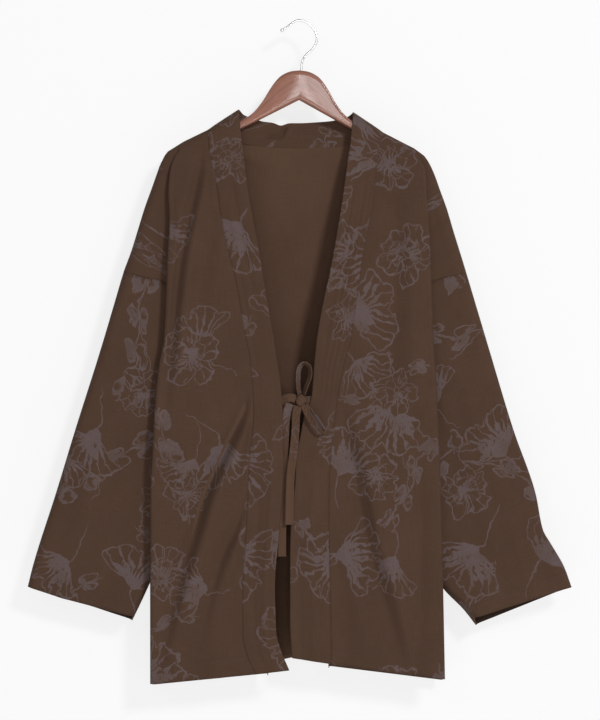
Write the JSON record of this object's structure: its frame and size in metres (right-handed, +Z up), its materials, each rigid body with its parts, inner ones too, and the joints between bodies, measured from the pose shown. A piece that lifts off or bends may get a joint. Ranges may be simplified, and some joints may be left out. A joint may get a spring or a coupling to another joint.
{
  "type": "haori jacket on a hanger",
  "caption": "Open-fronted haori jacket with wide drop-shoulder sleeves, a long collar band and a tied bow, hung flat on a shaped wooden hanger.",
  "frame": {"origin": "inside top of the hook's bend, where the hanger hangs on a rod or peg", "axes": "+Z up, the jacket's front faces -Y, +X is the wearer's left"},
  "size_m": [0.8014, 0.0861, 0.9836],
  "materials": {
    "brown_cloth": "matte plain weave",
    "band_cloth": "matte plain weave",
    "tie_cloth": "matte plain weave",
    "varnished_wood": "satin varnish",
    "hook_wire": "bright"
  },
  "bodies": {
    "root": {"back_panel": "brown_cloth", "front_right": "brown_cloth", "front_left": "brown_cloth", "sleeve_right": "brown_cloth", "sleeve_left": "brown_cloth", "collar_band": "band_cloth", "tie_strap_right": "tie_cloth", "tie_strap_left": "tie_cloth", "tie_loop_upper": "tie_cloth", "tie_loop_lower": "tie_cloth", "tie_tail_right": "tie_cloth", "tie_tail_left": "tie_cloth", "tie_knot": "tie_cloth", "hanger_yoke": "varnished_wood", "hanger_hook": "hook_wire"}
  },
  "joints": []
}
